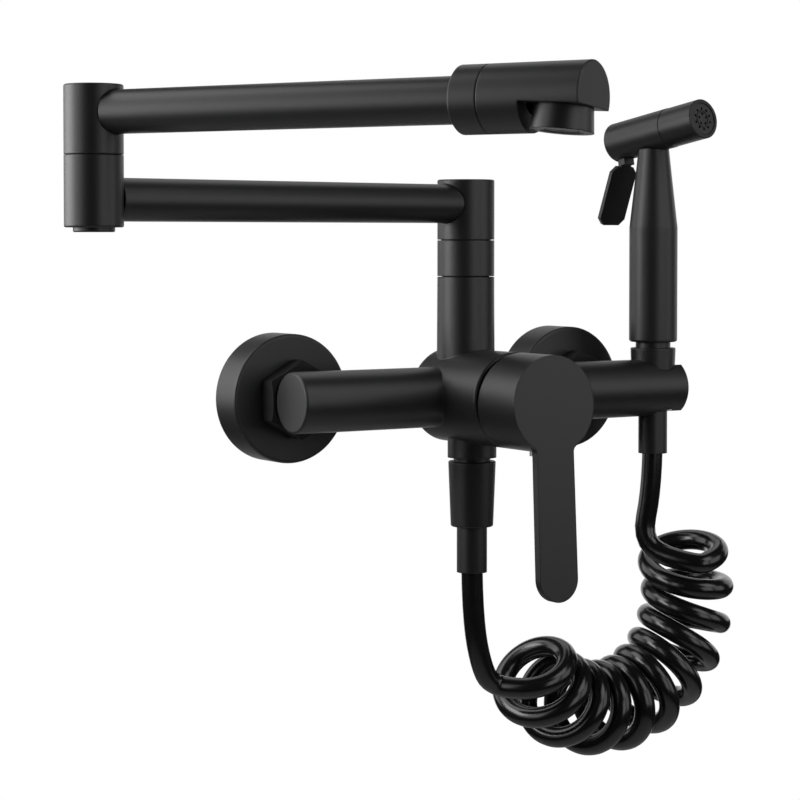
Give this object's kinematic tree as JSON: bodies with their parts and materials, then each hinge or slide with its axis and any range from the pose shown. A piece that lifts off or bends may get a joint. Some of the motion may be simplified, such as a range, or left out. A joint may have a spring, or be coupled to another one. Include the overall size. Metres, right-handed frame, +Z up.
{
  "type": "wall-mounted sink mixer",
  "caption": "Wall-mounted single-lever sink mixer with a folding double-jointed spout and a trigger hand spray on a spiral hose, all in matte black.",
  "frame": {"origin": "on the wall plane, midway between the two water inlets", "axes": "+X to the right seen from the room, +Y into the wall, +Z up"},
  "size_m": [0.3545, 0.2876, 0.3012],
  "materials": {
    "black_metal": "matte black coating",
    "brass": "machined",
    "steel": "plain",
    "rubber": "matte",
    "bearing_plastic": "moulded",
    "insert_plastic": "moulded",
    "ceramic": "lapped ceramic",
    "hose": "glossy black"
  },
  "bodies": {
    "mixer": {"mixer_body": "black_metal", "wall_flange_left": "black_metal", "wall_flange_right": "black_metal", "inlet_connector_left": "brass", "inlet_connector_right": "brass", "inlet_washer_left": "rubber", "inlet_washer_right": "rubber", "inlet_tail_left": "brass", "inlet_tail_right": "brass", "union_nut_left": "black_metal", "union_nut_right": "black_metal", "swivel_collar": "black_metal", "swivel_bush": "bearing_plastic", "cartridge_housing": "bearing_plastic", "cartridge_seals": "rubber", "fixed_disc": "ceramic", "retaining_nut": "brass", "hose_nut_lower": "black_metal", "hose_sleeve_lower": "black_metal", "hose_washer_lower": "rubber", "spiral_hose": "hose"},
    "lower_arm": {"riser_head": "black_metal", "riser_seals": "rubber", "riser_clip": "steel", "lower_tube": "black_metal", "knuckle_lower": "black_metal", "knuckle_cap": "black_metal"},
    "upper_arm": {"knuckle_upper": "black_metal", "knuckle_seal": "rubber", "knuckle_clip": "steel", "upper_tube": "black_metal", "outlet_collar": "black_metal", "outlet_nozzle": "black_metal", "aerator_housing": "black_metal", "aerator_insert": "insert_plastic", "aerator_washer": "rubber"},
    "lever_carrier": {"lever_rotor": "bearing_plastic", "pivot_pin": "steel"},
    "lever": {"lever_handle": "black_metal", "lever_stem": "brass", "set_screw": "steel"},
    "slide_disc": {"moving_disc": "ceramic", "disc_carrier": "bearing_plastic"},
    "hand_spray": {"spray_grip": "black_metal", "spray_head": "black_metal", "spray_nozzle": "black_metal", "spray_face": "insert_plastic", "trigger_pin": "steel", "plunger_spring": "steel", "hose_nut_upper": "black_metal", "hose_sleeve_upper": "black_metal", "hose_washer_upper": "rubber"},
    "trigger": {"trigger_lever": "black_metal"},
    "plunger": {"valve_plunger": "steel"}
  },
  "joints": [
    {"name": "spout_swivel", "type": "hinge", "parent": "mixer", "child": "lower_arm", "pos_m": [0, -0.041, 0.0848], "axis": [0, 0, 1], "range_deg": [-17, 115]},
    {"name": "elbow_swivel", "type": "hinge", "parent": "lower_arm", "child": "upper_arm", "pos_m": [-0.19684, -0.07642, 0.1], "axis": [0, 0, 1], "range_deg": [-120, 78]},
    {"name": "lever_turn", "type": "hinge", "parent": "mixer", "child": "lever_carrier", "pos_m": [0, -0.062, 0], "axis": [0, 1, 0], "range_deg": [-45, 45]},
    {"name": "lever_lift", "type": "hinge", "parent": "lever_carrier", "child": "lever", "pos_m": [0, -0.062, 0], "axis": [-1, 0, 0], "range_deg": [0, 24]},
    {"name": "disc_slide", "type": "slide", "parent": "lever_carrier", "child": "slide_disc", "axis": [0, 0, 1], "range_m": [-0.0029, 0]},
    {"name": "sprayer_lift", "type": "slide", "parent": "mixer", "child": "hand_spray", "axis": [0, 0, 1], "range_m": [0, 0.065], "deforming": ["spiral_hose"]},
    {"name": "trigger_squeeze", "type": "hinge", "parent": "hand_spray", "child": "trigger", "pos_m": [0.10317, -0.02076, 0.11921], "axis": [-0.9925, -0.1219, 0], "range_deg": [0, 12], "stiffness_Nm_per_rad": 0.3, "springref_deg": -17.19},
    {"name": "plunger_slide", "type": "slide", "parent": "hand_spray", "child": "plunger", "axis": [0.1201, -0.9784, 0.1685], "range_m": [0, 0.001], "deforming": ["plunger_spring"]}
  ],
  "couplings": [
    {"joint": "disc_slide", "follows": "lever_lift", "m_per_rad": -0.00665},
    {"joint": "plunger_slide", "follows": "trigger_squeeze", "m_per_rad": 0.0045}
  ]
}
